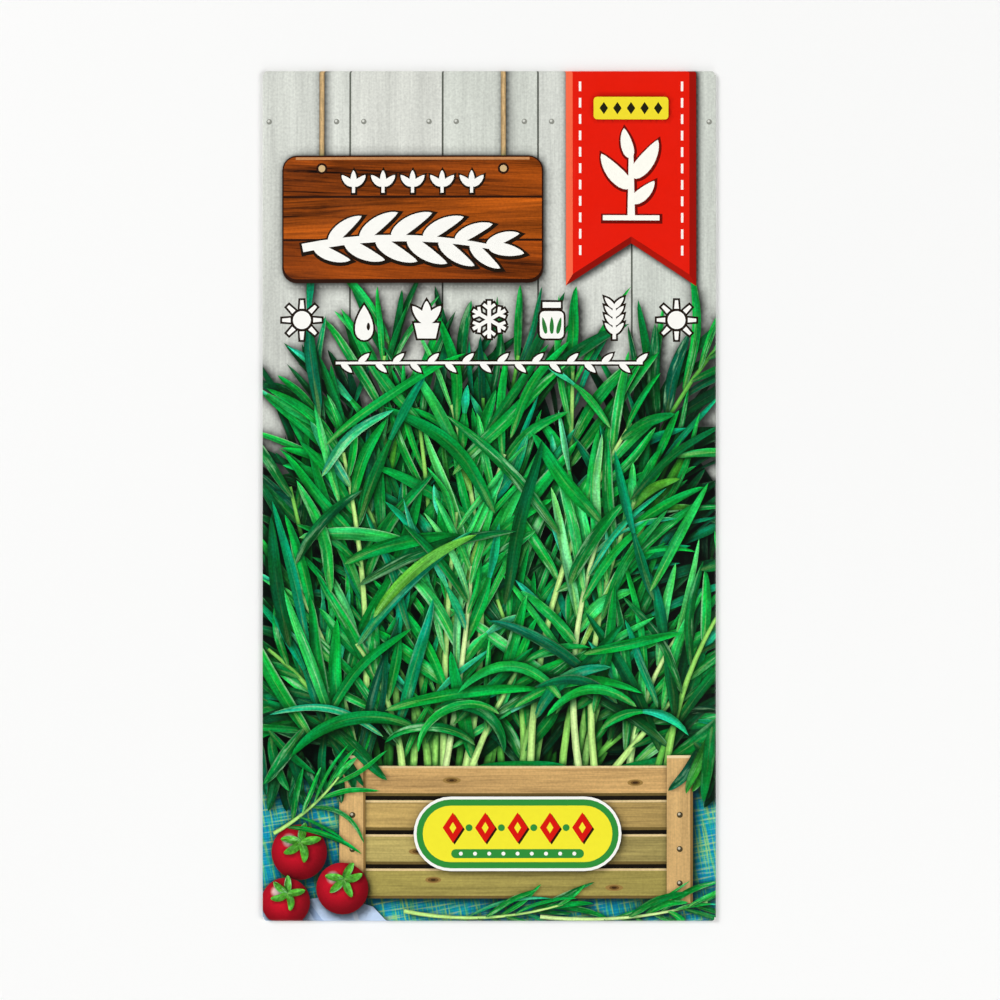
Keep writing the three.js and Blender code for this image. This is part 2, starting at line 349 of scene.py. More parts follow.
# blank is the place on the unfolded sheet, from the front's middle. side is 1 on the printed face, -1 inside.
def foldSheet(blank, side):
    across, along = blank[:, 0], blank[:, 1]
    half = side * sheet["paper"] / 2
    hand, end = np.sign(across), np.sign(along)
    pastSide, pastEnd = np.abs(across) - sideAt, np.abs(along) - endAt
    hold = levelOff(1 - np.abs(across) / sideAt) * levelOff(1 - np.abs(along) / endAt)   # 0 at the folds
    waves = np.sin(across / 9.5 + 0.8 * np.sin(along / 21)) * np.cos(along / 17 + 0.6)   # as in handled paper
    waves += 0.6 * np.sin((across + along) / 13 + 2.1)
    rise = (sheet["bellyRise"] + sheet["waviness"] * waves) * hold
    front = np.stack([across, along, frontZ + rise + half], axis=1)

    turn = np.clip(pastSide / sideRadius, 0, pi)
    reach = sideRadius + half
    inPanel = np.maximum(pastSide - sideArc, 0)
    backX = hand * (sideAt + reach * np.sin(turn) - inPanel)
    jog = layerStep * smooth((jogEnd - backX) / sheet["lapJog"]) * (hand > 0)
    panelZ = backZ + jog - half
    bentZ = backZ + sideRadius + reach * np.cos(turn)
    backSide = np.stack([backX, along, np.where(inPanel > 0, panelZ, bentZ)], axis=1)

    turn = np.clip(pastEnd / endRadius, 0, pi)
    reach = endRadius + half
    onFlap = np.maximum(pastEnd - endArc, 0)
    root, tip = sheet["flapInsets"]
    inset = root + (tip - root) * onFlap / sheet["flapDepth"]
    flapX = across * (1 - np.clip(pastEnd / endArc, 0, 1) * inset / sideAt)
    flapY = end * (endAt + reach * np.sin(turn) - onFlap)
    flap = np.stack([flapX, flapY, flapZ + endRadius + reach * np.cos(turn)], axis=1)

    folded = np.where((pastSide > 0)[:, None], backSide, front)
    return np.where((pastEnd > 0)[:, None], flap, folded)


# The print: shapes laid one over another on the unfolded blank, in mm

artwork = []
rng = random.Random(23)   # all that varies is drawn from here, in the order of laying
vary = rng.uniform
bleed = 1.2   # mm that the front's picture runs on round the folds
frontX, frontY = halfWidth + bleed, halfHeight + bleed


def sidesOf(outline):
    return zip(outline, outline[1:] + outline[:1])


def windLeft(outline):
    area = sum(a[0] * b[1] - b[0] * a[1] for a, b in sidesOf(outline))
    return outline if area > 0 else outline[::-1]


def cut(a, b, count):   # the way from a to b in equal steps, without b
    return [(a[0] + (b[0] - a[0]) * i / count, a[1] + (b[1] - a[1]) * i / count) for i in range(count)]


def inSteps(outline, step=1.3):
    points = []
    for a, b in sidesOf(outline):
        points += cut(a, b, max(1, round(dist(a, b) / step)))
    return points


# local gives a point's place in the motif. height is how far forward the pictured thing stands, and edge how
# thick it looks where it lies on the next thing. Both only steer the printed shadows.
def lay(outline, ink, colour, alpha=0.0, tone=0.5, local=None, height=0.0, edge=0.0):
    tint = colour if isinstance(colour, tuple) else hexToLinear(colour)
    if ink in ("wood", "cloth", "thicket") or edge:
        outline = inSteps(outline)
    artwork.append({"outline": windLeft(outline), "ink": ink, "colour": tint[:3] + (alpha,), "tone": tone,
                    "local": local or (lambda points: points), "height": height, "edge": edge})


def layFlat(outline, colour, height=0.0, edge=0.0):
    lay(outline, "flat", colour, height=height, edge=edge)


def box(x0, y0, x1, y1):
    return [(x0, y0), (x1, y0), (x1, y1), (x0, y1)]


def roundBox(x0, y0, x1, y1, radius, steps=6):
    outline = []
    for cx, cy, start in ((x1 - radius, y1 - radius, 0), (x0 + radius, y1 - radius, 1),
                          (x0 + radius, y0 + radius, 2), (x1 - radius, y0 + radius, 3)):
        for i in range(steps + 1):
            a = (start + i / steps) * pi / 2
            outline.append((cx + radius * cos(a), cy + radius * sin(a)))
    return outline


def turns(count):
    return [tau * i / count for i in range(count)]


def disc(x, y, rx, ry=None, steps=24):   # four steps make a diamond
    return [(x + rx * cos(a), y + (ry or rx) * sin(a)) for a in turns(steps)]


def onDisc(x, y, r, points):   # from -1 to 1 across it
    return (points - (x, y)) / r


def grainAlong(angle, middle=(0, 0)):   # turns points so that the first axis runs along the pictured grain
    c, s = cos(angle), sin(angle)
    return lambda points: (points - middle) @ np.array([[c, -s], [s, c]])


# A curved strip, for leaves, stems and cords. Its spine is a row of points with the heading at each.
def growSpine(start, heading, length, bend=0.0, sway=0.0, steps=20):
    ends, middles = np.linspace(0, 1, steps + 1), (np.arange(steps) + 0.5) / steps
    aims, aim = (heading + bend * s + sway * np.sin(tau * s) for s in (ends, middles))
    step = length / steps * np.stack([np.cos(aim), np.sin(aim)], axis=1)
    return np.concatenate([[start], np.array(start) + np.cumsum(step, axis=0)]), aims


def spineAt(spine, s):
    points, aims = spine
    at = min(max(s, 0), 1) * (len(points) - 1)
    i = min(int(at), len(points) - 2)
    share = at - i
    return points[i] * (1 - share) + points[i + 1] * share, aims[i] * (1 - share) + aims[i + 1] * share


def stripOutline(spine, halfWide, stations, more=0.0):   # more widens it all round
    left, right = [], []
    for s in stations:
        (x, y), aim = spineAt(spine, s)
        w = halfWide(s)
        pointed = w < 0.03
        if s in (0, 1):
            push = more * (2 if pointed else 1) * (2 * s - 1)
            x, y = x + push * cos(aim), y + push * sin(aim)
        w = 0 if pointed else w + more
        left.append((x - w * sin(aim), y + w * cos(aim)))
        if not pointed:
            right.append((x + w * sin(aim), y - w * cos(aim)))
    return right + left[::-1]


def stripLocal(spine, halfWide):   # (share of the length, share of the half width)
    points = spine[0]
    a, step = points[:-1], np.diff(points, axis=0)
    size = np.hypot(step[:, 0], step[:, 1])

    def local(p):
        gap = p[:, None, :] - a
        t = np.clip((gap * step).sum(axis=2) / size ** 2, 0, 1)
        off = gap - t[:, :, None] * step
        nearest = np.argmin((off ** 2).sum(axis=2), axis=1)
        row = np.arange(len(p))
        s = (nearest + t[row, nearest]) / len(a)
        off, ahead = off[row, nearest], step[nearest]
        d = (ahead[:, 0] * off[:, 1] - ahead[:, 1] * off[:, 0]) / size[nearest]
        wide = np.array([max(halfWide(share), 0.08) for share in s])
        return np.stack([s, np.clip(d / wide, -1, 1)], axis=1)
    return local


def layStrip(ink, spine, profile, stations, colour, alpha, tone, height, edge):
    outline, local = stripOutline(spine, profile, stations), stripLocal(spine, profile)
    lay(outline, ink, colour, alpha, tone, local, height, edge)


def layStem(spine, root, tip, colour, height, edge):
    layStrip("stem", spine, stemProfile(root, tip), stemStations, colour, 0, rng.random(), height, edge)


leafStations = (0, 0.05, 0.12, 0.2, 0.3, 0.4, 0.5, 0.6, 0.7, 0.79, 0.87, 0.94, 1)
stemStations = tuple(i / 10 for i in range(11))


def leafProfile(width, twist=None):   # at a twist the blade is seen edge on
    def half(s):
        wide = width * 1.04 * max(s, 0) ** 0.48 * max(1 - s, 0) ** 0.6
        return wide * (1 - 0.62 * exp(-((s - twist) / 0.13) ** 2)) if twist else wide
    return half


def stemProfile(root, tip):
    return lambda s: (root + (tip - root) * s) / 2


lightSteps = (0.0, 0.2, 0.4, 0.55, 0.7, 0.85, 1.0)   # from the deepest shade to the brightest light
ramps = {
    "emerald": "#000a06 #002f17 #005c2a #008634 #04a63c #2cc058 #8cdc8a",
    "teal": "#000f0a #003020 #005b3a #007e4e #009b66 #28b67e #78d4a4",
    "lime": "#04140a #0a3c18 #186c24 #36962c #66b83c #a2d45e #dcee9e",
    "stem": "#06240c #185a20 #3e9634 #6cc24c #98dc64 #c2ee88 #e6f7b8",
}


def fromRamp(name, light):
    channels = zip(*(hexToLinear(code) for code in ramps[name].split()))
    return tuple(float(np.interp(light, lightSteps, channel)) for channel in channels)


leaf = {
    "hues": {"emerald": 0.86, "teal": 0.11, "lime": 0.03},
    "gleam": (-0.5, 0.9),   # below nothing, there is none
    "sway": 0.12,
    "twisted": 0.16,   # share of the leaves that turn over, and the least length of one
    "twistFrom": 11,
    "edge": 0.3,
}


def layLeaf(start, heading, length, width, light, height, bend=0.0, hue=None):
    hue = hue or rng.choices(list(leaf["hues"]), list(leaf["hues"].values()))[0]
    spine = growSpine(start, heading, length, bend, vary(-leaf["sway"], leaf["sway"]))
    tone, gleam = rng.random(), max(0.0, vary(*leaf["gleam"])) * min(1, 1.6 * max(light, 0))
    twist, parts = None, [(leafStations, hue, 0)]
    if length >= leaf["twistFrom"] and rng.random() <= leaf["twisted"]:
        twist = vary(0.4, 0.66)   # past the twist the paler underside shows
        parts = [([twist * i / 6 for i in range(7)], hue, 0),
                 ([twist + (1 - twist) * i / 6 for i in range(7)], "teal", 1)]
    for stations, ramp, under in parts:
        layStrip("leaf", spine, leafProfile(width, twist), stations, fromRamp(ramp, light + 0.1 * under),
                 gleam * (1 - under), tone, height, leaf["edge"])


bush = {
    "rootY": -52.0,
    "leafy": 34.0,   # mm of a sprig that bears leaves, from its tip down
    "leafGap": 2.4,
    "leafLength": (15, 31),
    "leafWidth": (1.1, 2.5),
    "openAtFoot": (12, 58),   # degrees that a leaf stands off its stem
    "openAtTip": (4, 24),
    "underStem": 0.66,   # share of the leaves
    "stemWidth": (1.35, 0.6),
    "lightFrom": radians(125),
    "depths": (   # sprigs, lowest and highest tip, side reach, light, height
        (18, -36, 27, 42, 0.08, 2.0),
        (17, -36, 34, 42, 0.31, 4.0),
        (16, -34, 29, 39, 0.5, 6.0),
        (13, -32, 20, 38, 0.64, 8.0),
    ),
    "corners": (   # sprigs over the crate's ends: root across, tip across and up, bend, light
        (29, 40, -31, -0.7, 0.3),
        (31, 41, -20, -0.5, 0.45),
        (-22, -39, -27, 0.6, 0.4),
        (-20, -40, -36, 0.9, 0.35),
    ),
    "looseLeaves": 44,
    "hanging": 26,   # leaves over the crate's ends, and over its front
    "arching": 11,
}


def bushTop(x):   # how high the dark inside of the bush reaches
    return 15 - 0.008 * x * x


# A sprig from its root to its tip, with leaves set by turns left and right of the stem
def laySprig(root, tip, bend, light, height, scale=1.0):
    length = dist(root, tip) / (sin(bend / 2) / (bend / 2) if abs(bend) > 0.01 else 1)
    heading = atan2(tip[1] - root[1], tip[0] - root[0]) - bend / 2
    stem = growSpine(root, heading, length, bend)
    bare = max(0.12, 1 - bush["leafy"] * scale / length)
    count = max(4, int(length * (1 - bare) / (bush["leafGap"] * scale)))
    leaves = []
    for i in range(count):
        young = (i + vary(0.0, 0.6)) / count
        start, aim = spineAt(stem, bare + (1 - bare) * young)
        side = 1 if i % 2 else -1
        aim += side * radians(vary(*bush["openAtFoot"]) * (1 - young) + vary(*bush["openAtTip"]) * young)
        long = scale * vary(*bush["leafLength"]) * (1.06 - 0.42 * young)
        wide = scale * vary(*bush["leafWidth"]) * (1.05 - 0.25 * young)
        droop = -cos(aim) * vary(-0.1, 1.0) + vary(-0.45, 0.45)
        glow = light + 0.11 * cos(aim - bush["lightFrom"]) + vary(-0.17, 0.15) + 0.05 * young
        clear = min(max((start[1] - bushTop(start[0])) / 10, 0), 1)   # out of the bush's own shade
        glow += 0.75 * clear * max(0, 0.5 - light)
        leaves.append((tuple(start), aim, long, wide, glow, height + vary(0, 1.2), droop))
    rng.shuffle(leaves)
    under = round(count * bush["underStem"])
    for blade in leaves[:under]:
        layLeaf(*blade)
    root, tip = (scale * width for width in bush["stemWidth"])
    layStem(stem, root, tip, fromRamp("stem", light + 0.25), height + 0.6, 0.35)
    for blade in leaves[under:]:
        layLeaf(*blade)


# The sprigs of one depth are drawn from the top down, so that the lower ones overlap those above. Steps of a
# golden share spread them evenly.
def layBushDepth(count, low, high, reach, light, height):
    tips = []
    for i in range(count):
        x = reach * (2 * ((i * 0.618 + vary(-0.1, 0.1)) % 1) - 1)
        y = low + (high - low) * ((i + rng.random()) / count) - 0.004 * x * x
        tips.append((x, y))
    for x, y in sorted(tips, key=lambda tip: -tip[1]):
        rootX = x * vary(0.35, 0.8) + vary(-9, 5)
        rootX = min(max(rootX, crate["left"] + 3), crate["right"] - 3)
        rootY = min(y - 14, bush["rootY"] + vary(-4, 5))
        bend = vary(-0.45, 0.45) - (x - rootX) * 0.03
        laySprig((rootX, rootY), (x, y), bend, light + vary(-0.05, 0.05), height)


def layLooseLeaves():
    for _ in range(bush["looseLeaves"]):
        x, y = vary(-38, 38), vary(-44, 16)
        aim = vary(*rng.choices(((0.8, 1.4), (1.7, 2.3), (0.1, 0.6)), (0.55, 0.3, 0.15))[0])
        droop = -cos(aim) * vary(-0.2, 1.2) + vary(-0.3, 0.3)
        layLeaf((x, y), aim, vary(16, 30), vary(1.3, 2.5), vary(0.35, 0.85), vary(8, 10), droop)


# Leaves that hang out over the crate's ends, and others that arch over its top edge
def layOverhang():
    for i in range(bush["hanging"]):
        x = vary(-41, -26) if i % 3 else vary(35.5, 41)
        far = i / bush["hanging"]
        layLeaf((x, -48 + 8 * far), -pi / 2 + vary(-0.9, 0.9), vary(6, 9) + 5 * far, vary(1.4, 2.3),
                0.2 + 0.3 * far + vary(-0.05, 0.1), 3.0 + 3 * far, vary(-0.6, 0.6))
    for i in range(bush["arching"]):
        x = -20 + 50 * (i + vary(0.1, 0.9)) / bush["arching"]
        out = rng.choice((-1, 1))
        aim = pi / 2 - out * vary(0.2, 1.1)
        layLeaf((x, vary(-44, -36)), aim, vary(14, 25), vary(1.3, 2.3), vary(0.4, 0.75), 11.5,
                -out * vary(0.9, 2.5))


def layThicket():
    outline = [(-frontX + 2 * frontX * i / 60, -49.5 - 1.3 * (i % 2)) for i in range(61)] + [(frontX, -8)]
    for i in range(25):
        x = frontX * (1 - 2 * (i + 0.5) / 25)
        outline.append((x, bushTop(x) + 3.5 * sin(i * 2.1)))
    lay(outline + [(-frontX, -10)], "thicket", "#01130b", 0, 0.3, height=1.0, edge=0.4)


boards = {"joints": (-24.5, -8.2, 8.6, 25.1), "gap": 0.32, "nailFrom": 2.4, "nailUp": 66.0,
          "tints": ("#d2d5cd", "#d8dad2", "#d0d4cb", "#d6d9d1", "#ced3ca")}


def layNail(x, y, r, dark, bright, height=0.0):
    layFlat(disc(x, y, r, steps=10), dark, height)
    layFlat(disc(x - 0.22 * r, y + 0.25 * r, 0.46 * r, steps=8), bright, height)


def layBackdrop():
    layFlat(box(-frontX, -frontY, frontX, frontY), "#6f7369")
    edges = (-frontX,) + boards["joints"] + (frontX,)
    for a, b, tint in zip(edges, edges[1:], boards["tints"]):
        board = box(a + boards["gap"] / 2, -frontY, b - boards["gap"] / 2, frontY)
        lay(board, "wood", tint, 0.55, rng.random(), grainAlong(pi / 2), edge=0.2)
        for x in (a + boards["nailFrom"], b - boards["nailFrom"]):
            if abs(x) < halfWidth - 1:
                layNail(x, boards["nailUp"], 0.5, "#8d8f86", "#d9dad2")


cloth = {"turquoise": "#0b9fca", "blue": "#c2d7f2", "fold": "#a3bcdf", "lightFold": "#dce8f8",
         "tilt": radians(10), "top": -48}


def layTable():
    hem = [(-frontX, -frontY), (frontX, -frontY), (frontX, cloth["top"])]
    for i in range(31):
        hem.append((frontX - 2 - (2 * frontX - 4) * i / 30, cloth["top"] + 0.8 + 0.7 * sin(i * 0.9)))
    hem.append((-frontX, cloth["top"]))
    lay(hem, "cloth", cloth["turquoise"], 0, rng.random(), grainAlong(cloth["tilt"]), 1.0, 0.4)
    layFlat([(-frontX, -frontY), (-17, -frontY), (-20.5, -72.4), (-27, -70.4), (-34, -71.4),
             (-frontX, -69.2)], cloth["blue"], 1.5, 0.5)
    layFlat([(-30, -frontY), (-33, -71.3), (-32, -71.2), (-28.4, -frontY)], cloth["fold"])
    layFlat([(-23.5, -frontY), (-24.6, -71.2), (-24, -71.1), (-22.6, -frontY)], cloth["lightFold"])


crate = {"left": -25.5, "right": 35.0, "top": -47.5, "slat": 5.3, "gap": 0.75, "post": 4.6, "height": 9.0,
         "tints": ("#cba368", "#b79a5c", "#a8985a", "#9c8f4c")}   # one for each slat


def layCrateBack():
    left, right, top = (crate[k] for k in ("left", "right", "top"))
    back = box(left + 1, top - 12, right - 1, top + 4.6)
    lay(back, "wood", "#8f7442", 0.9, rng.random(), grainAlong(0), 1.0, 0.4)
    lay(box(left + 1.5, top - 14, right - 1.5, top + 2.6), "thicket", "#01130b")


def layCrateFront():
    left, right, top = (crate[k] for k in ("left", "right", "top"))
    slat, post, tall = (crate[k] for k in ("slat", "post", "height"))
    tops = [top - i * (slat + crate["gap"]) for i in range(len(crate["tints"]))]
    low = tops[-1] - slat
    layFlat(box(left + 0.6, low + 0.3, right - 0.6, top - 0.8), "#1d170c", tall - 1)
    for y, tint in zip(tops, crate["tints"]):
        grain = grainAlong(vary(-0.012, 0.012), (vary(-400, 400), 0))
        for y0, y1, colour, strength, edge in ((y - slat, y, tint, 1.5, 0.3), (y - 0.4, y, "#e3c893", 0.5, 0),
                                               (y - slat, y - slat + 0.5, "#6f5c31", 0.6, 0)):
            lay(box(left, y0, right, y1), "wood", colour, strength, rng.random(), grain, tall, edge)
        for first, last in ((0.12, 0.4), (0.6, 0.9)):
            layKnot(left + (right - left) * vary(first, last), y - vary(1.7, 3.6), tall)
    tall += 0.8
    for x in (left - 0.9, right + 0.9 - post):
        lay(box(x, low - 0.9, x + post, top + 1.8), "wood", "#d0aa70", 0.9, rng.random(),
            grainAlong(pi / 2, (vary(-90, 90), 0)), tall, 0.45)
        layFlat(box(x, top + 1.3, x + post, top + 1.8), "#eed6a6", tall)
        layFlat(box(x + post - 0.4, low - 0.9, x + post, top + 1.8), "#8a6c3c", tall)
        for y in tops:
            layNail(x + post / 2, y - slat / 2, 0.55, "#4a3f28", "#c4bba2", tall)


def layKnot(x, y, height):
    for r, colour in ((0.95, "#9a7a42"), (0.6, "#6d4f27"), (0.28, "#3c2913")):
        layFlat(disc(x, y, r * vary(1.4, 1.8), r * 0.62, 14), colour, height)


table = {
    "fruit": ((-33.5, -62.8, 4.9), (-25.9, -69.2, 4.6), (-35.9, -71.6, 4.3)),   # middle and radius
    "sprigs": (   # root, tip, bend, light
        ((-38, -59.5), (-26.5, -49.5), 0.4, 0.55),
        ((-15, -73.2), (13, -72.0), 0.5, 0.6),
        ((9, -74.2), (38.5, -71.6), 0.4, 0.66),
    ),
}


def layOnTable():
    for x, y, r in table["fruit"]:
        skin = disc(x, y, r, steps=28)
        lay(skin, "fruit", "#c01226", 0, rng.random(), partial(onDisc, x, y, r), 4.0, 0.9)
        for i in range(5):
            aim = radians(80 + 72 * i + vary(-12, 12))
            layLeaf((x + 0.3, y + r * 0.35), aim, r * 0.75, r * 0.3, 0.62, 4.6, vary(-0.9, 0.9), "lime")
    for sprig in table["sprigs"]:
        laySprig(*sprig, height=2.0, scale=0.55)


def grown(outline, by):
    outline = windLeft(outline)
    moved = []
    for before, (here, after) in zip(outline[-1:] + outline[:-1], sidesOf(outline)):
        a = Vector((here[0] - before[0], here[1] - before[1])).normalized()
        b = Vector((after[0] - here[0], after[1] - here[1])).normalized()
        out = Vector((a.y + b.y, -a.x - b.x))
        if out.length < 1e-6:
            out = Vector((a.y, -a.x))
        reach = min(2.2, 2 / max(out.length, 1e-3))
        out.normalize()
        moved.append((here[0] + out.x * by * reach, here[1] + out.y * by * reach))
    return moved


figure = {"fill": "#fbfaf4", "rim": "#1d1208", "by": 0.35}


# Strips and outlines of one figure, white with a dark rim. The rims go down first, so that it is one shape.
def layFigure(strips, outlines=(), at=(0, 0), shift=(0, 0), **other):
    look = {**figure, **other}
    for by, colour, dx, dy in ((look["by"], look["rim"], *shift), (0, look["fill"], 0, 0)):
        parts = [stripOutline(*strip, by) for strip in strips]
        parts += [grown(outline, by) if by else outline for outline in outlines]
        for part in parts:
            layFlat([(at[0] + x + dx, at[1] + y + dy) for x, y in part], colour)


def leafStrip(x, y, aim, length, width, bend=0.0):   # rounder than the pictured plant's leaves
    def half(s):
        return width / 2 * 1.95 * max(s, 0) ** 0.45 * max(1 - s, 0) ** 0.75
    return growSpine((x, y), radians(aim), length, bend), half, leafStations


def barStrip(x, y, aim, length, width, tip=None):
    return growSpine((x, y), radians(aim), length), stemProfile(width, tip or width), (0, 1)


# The wooden sign, with two ornaments: a row of small sprouts, and below it a long stem with paired leaves
sign = {"left": -36.5, "right": 9.5, "low": 37.5, "high": 60.0, "radius": 2.6, "height": 3.0, "cordIn": 7.0,
        "planks": ((0.7, 7.4, "#8a3d0a"), (7.8, 15.0, "#9d4a0e"), (15.4, 22.25, "#93430c")),
        "sprouts": 5, "leaves": 12}


def laySign():
    left, right, low, high, tall = (sign[k] for k in ("left", "right", "low", "high", "height"))
    cords = (left + sign["cordIn"], right - sign["cordIn"])
    for x in cords:
        layStem(growSpine((x, high - 2), pi / 2, 20), 0.9, 0.9, "#c9a877", 2.0, 0.4)
    layFlat(roundBox(left, low, right, high, sign["radius"]), "#2c1206", tall, 0.6)
    board = roundBox(left + 0.25, low + 0.7, right - 0.25, high - 0.25, sign["radius"] - 0.3)
    for y0, y1, tint in sign["planks"]:
        lay([(x, min(max(y, low + y0), low + y1)) for x, y in board], "wood", tint, 3.0, rng.random(),
            grainAlong(vary(-0.1, 0.1), (vary(0, 300), 0)), tall)
    gleam = box(left + 2.4, high - 0.75, right - 2.4, high - 0.3)
    lay(gleam, "wood", "#c58a58", 0.5, rng.random(), grainAlong(0), tall)
    for x in cords:
        layFlat(disc(x, high - 2.3, 1.0, steps=14), "#2a1308")
        layFlat(disc(x, high - 2.3, 0.62, steps=12), "#d5b787")

    sprouts = []
    for i in range(sign["sprouts"]):
        x, y = (left + right) / 2 + (i - 2) * 5.2, high - 5.3
        sprouts += [leafStrip(x, y, 150, 2.8, 1.4, -0.4), leafStrip(x, y, 30, 2.8, 1.4, 0.4),
                    leafStrip(x, y, 90, 2.7, 1.2), barStrip(x, y - 1.3, 90, 1.7, 0.55)]
    layFigure(sprouts, by=0.32, shift=(0.08, -0.1))

    stem = growSpine((left + 3.6, low + 6.2), 0.2, right - left - 12, -0.4)
    strips = [(stem, stemProfile(1.5, 0.8), stemStations)]
    for i in range(sign["leaves"]):
        share = i / (sign["leaves"] - 1)
        (x, y), aim = spineAt(stem, 0.06 + 0.9 * share)
        swell = 0.7 + 0.3 * sin(pi * (0.15 + 0.8 * share))
        side = 1 if i % 2 else -1
        strips.append(leafStrip(x, y, degrees(aim) + side * 46, 8.4 * swell, 2.9 * swell, -side * 0.5))
    (x, y), aim = spineAt(stem, 0.97)
    strips.append(leafStrip(x, y, degrees(aim), 6.4, 2.5))
    layFigure(strips, by=0.5, shift=(0.12, -0.18))


pennant = {"middle": 25.0, "half": 11.5, "low": 37.0, "notch": 7.5, "bevel": 1.2, "stitches": 11}


def layPennant():
    middle, half, low, bevel = (pennant[k] for k in ("middle", "half", "low", "bevel"))
    corner, crotch = low + bevel * 1.7, low + pennant["notch"]
    layFlat([(middle - half, frontY), (middle - half, low), (middle, crotch), (middle + half, low),
             (middle + half, frontY)], "#e61a06", 3.0, 0.6)
    ends = ((middle - half, middle - half + bevel), (middle + half, middle + half - bevel))
    for (out, inner), colour in zip(ends, ("#fb6a48", "#9c0e04")):
        layFlat([(out, frontY), (out, low), (inner, corner), (inner, frontY)], colour, 3.0)
    for (out, inner), colour in zip(ends, ("#8e0d03", "#ad1305")):
        layFlat([(out, low), (inner, corner), (middle, crotch + bevel), (middle, crotch)], colour, 3.0)
    for i in range(pennant["stitches"]):
        for x in (middle - 9.2, middle + 8.8):
            y = low + 5.4 + i * 2.9
            layFlat(box(x, y, x + 0.42, y + 1.7), "#fff6ee")
    layFlat(roundBox(middle - 6.6, 66.4, middle + 6.6, 70.4, 0.6, 3), "#f3df2f", 3.4, 0.3)
    for i in range(5):
        layFlat(disc(middle + (i - 2) * 2.4, 68.4, 0.75, 1.1, 4), "#20200f")
    layFigure([barStrip(0, 49.4, 90, 11.5, 1.3, 0.8), leafStrip(0, 59.6, 112, 5.4, 2.4, -0.3),
               leafStrip(0, 56.2, 40, 8.2, 3.3, 0.5), leafStrip(0, 54.4, 146, 8.0, 3.2, -0.5),
               leafStrip(0, 51.8, 28, 5.6, 2.5, 0.5), barStrip(-5.0, 49.0, 0, 10.0, 0.9)],
              at=(middle, 0), shift=(0.1, -0.15), by=0.42, rim="#6d0a03", fill="#fffdf2")


icons = {"left": -33.0, "pitch": 11.0, "up": 31.0, "garlandUp": 23.4, "leaves": 18}


# Growing signs in a row, each drawn about its own middle, with a garland below them
def layIcons():
    sun = [barStrip(2 * cos(a), 2 * sin(a), degrees(a), 1.5, 0.85, 0.55) for a in turns(8)]
    drop = [(2.1 * sin(a) * sin(a / 2), 3.1 * cos(a) - 0.5) for a in turns(22)]
    potted = [leafStrip(0, -0.6, aim, 3.9, 1.9) for aim in (50, 90, 130)]
    flake = []
    for aim in range(30, 390, 60):
        x, y = 1.9 * cos(radians(aim)), 1.9 * sin(radians(aim))
        flake.append(barStrip(0, 0, aim, 3.3, 0.65))
        flake += [barStrip(x, y, aim + turn, 1.3, 0.55) for turn in (52, -52)]
    cuttings = [stripOutline(*leafStrip(i - 1, -2.5, 102 - 12 * i, 3.0, 0.85)) for i in range(3)]
    spray = [leafStrip(0, -2.4 + i * 1.5, 90 + side * 42, 2.5, 1.05) for i in range(4) for side in (-1, 1)]
    signs = (   # strips, outlines, and the marks on them with their colour
        (sun, [disc(0, 0, 1.6, steps=18)], [], None),
        ([], [drop], [disc(0.75, -1.2, 0.3, 0.7, 10)], figure["rim"]),
        (potted, [[(-1.6, -3.3), (1.6, -3.3), (2.2, -0.6), (-2.2, -0.6)]], [], None),
        (flake, [], [], None),
        ([], [roundBox(-2.1, -3.3, 2.1, 1.5, 0.8, 3), box(-1.6, 2.1, 1.6, 3.1)], cuttings, "#2d7a35"),
        ([barStrip(0, -3.4, 90, 6.0, 0.6)] + spray, [], [], None),
    )
    for i, (strips, outlines, marks, colour) in enumerate(signs + signs[:1]):
        x, y = icons["left"] + i * icons["pitch"], icons["up"]
        layFigure(strips, outlines, at=(x, y))
        for mark in marks:
            layFlat([(x + u, y + v) for u, v in mark], colour)
    y = icons["garlandUp"]
    leaves = [leafStrip(-26 + i * 3.06, y, 42 if i % 2 else -42, 2.5, 1.15) for i in range(icons["leaves"])]
    layFigure([barStrip(-27, y, 0, 54, 0.45)] + leaves, by=0.3)


label = {"x": 5.0, "y": -59.5, "halfWide": 18.3, "halfHigh": 6.6, "green": "#2f8f3a", "yellow": "#f4ea32",
         "diamonds": 5, "dots": 9}


def layLabel():
    x, y, w, h = (label[k] for k in ("x", "y", "halfWide", "halfHigh"))
    for inset, colour, edge in ((0, "#f7f7f1", 0.5), (0.5, label["green"], 0), (1.6, label["yellow"], 0)):
        plate = roundBox(x - w + inset, y - h + inset, x + w - inset, y + h - inset, h - inset - 0.05, 8)
        layFlat(plate, colour, crate["height"] + 1.6, edge)
    for i in range(label["diamonds"]):
        across, up = x + (i - 2) * 5.7, y + 1.1
        for dx, dy, colour in ((0.3, -0.3, "#2a120a"), (0, 0, "#d8160b")):
            layFlat(disc(across + dx, up + dy, 1.8, 2.7, 4), colour)
        layFlat(disc(across, up, 0.6, 1.0, 4), label["yellow"])
        if i < label["diamonds"] - 1:
            layFlat(disc(across + 2.85, up, 0.62, steps=12), label["green"])
    layFlat(roundBox(x - w + 6.6, y - h + 2.3, x + w - 6.6, y - h + 3.9, 0.78, 4), label["green"])
    for i in range(label["dots"]):
        layFlat(disc(x + (i - 4) * 2.5, y - h + 3.1, 0.36, steps=8), figure["fill"])


# The back, laid over all that the front's picture has beyond its bleed: cream, with a green head band, a
# sowing calendar in bars, lines to write on and a box for a date, and green flaps with a row of dots
backPrint = {"cream": "#f4efdf", "green": "#3da43f", "red": "#d3160c", "cell": "#e4dec6", "rule": "#9a9a86",
             "box": "#fdfcf6", "reach": 33.0, "month": 5.5, "cellWide": 4.9, "rules": 6, "dots": 15,
             "calendar": ((30, "red", (2, 3, 4)), (24.6, "green", range(4, 10)))}   # months from 0


